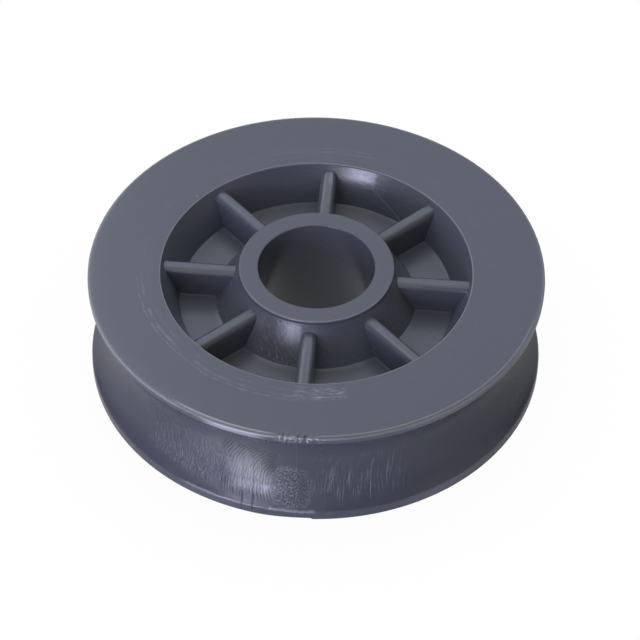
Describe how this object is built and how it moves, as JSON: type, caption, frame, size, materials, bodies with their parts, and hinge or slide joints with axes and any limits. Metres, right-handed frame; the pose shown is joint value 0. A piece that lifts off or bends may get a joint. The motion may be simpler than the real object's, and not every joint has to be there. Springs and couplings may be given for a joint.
{
  "type": "rope sheave",
  "caption": "One-piece moulded plastic rope sheave: rounded rope groove round the rim, plain bore, ribbed pocket in each face.",
  "frame": {"origin": "on the bore's axis, half way between the two flange faces and in the middle plane of the rope groove", "axes": "+Z along the bore, out of the upper flange face; +X and +Y along two of the ribs; the mould's seam crosses the groove at -Y and +Y"},
  "size_m": [0.1, 0.1, 0.0276],
  "materials": {
    "sheave_plastic": "satin grey moulded plastic with a soft sheen"
  },
  "bodies": {
    "root": {"sheave": "sheave_plastic"}
  },
  "joints": []
}
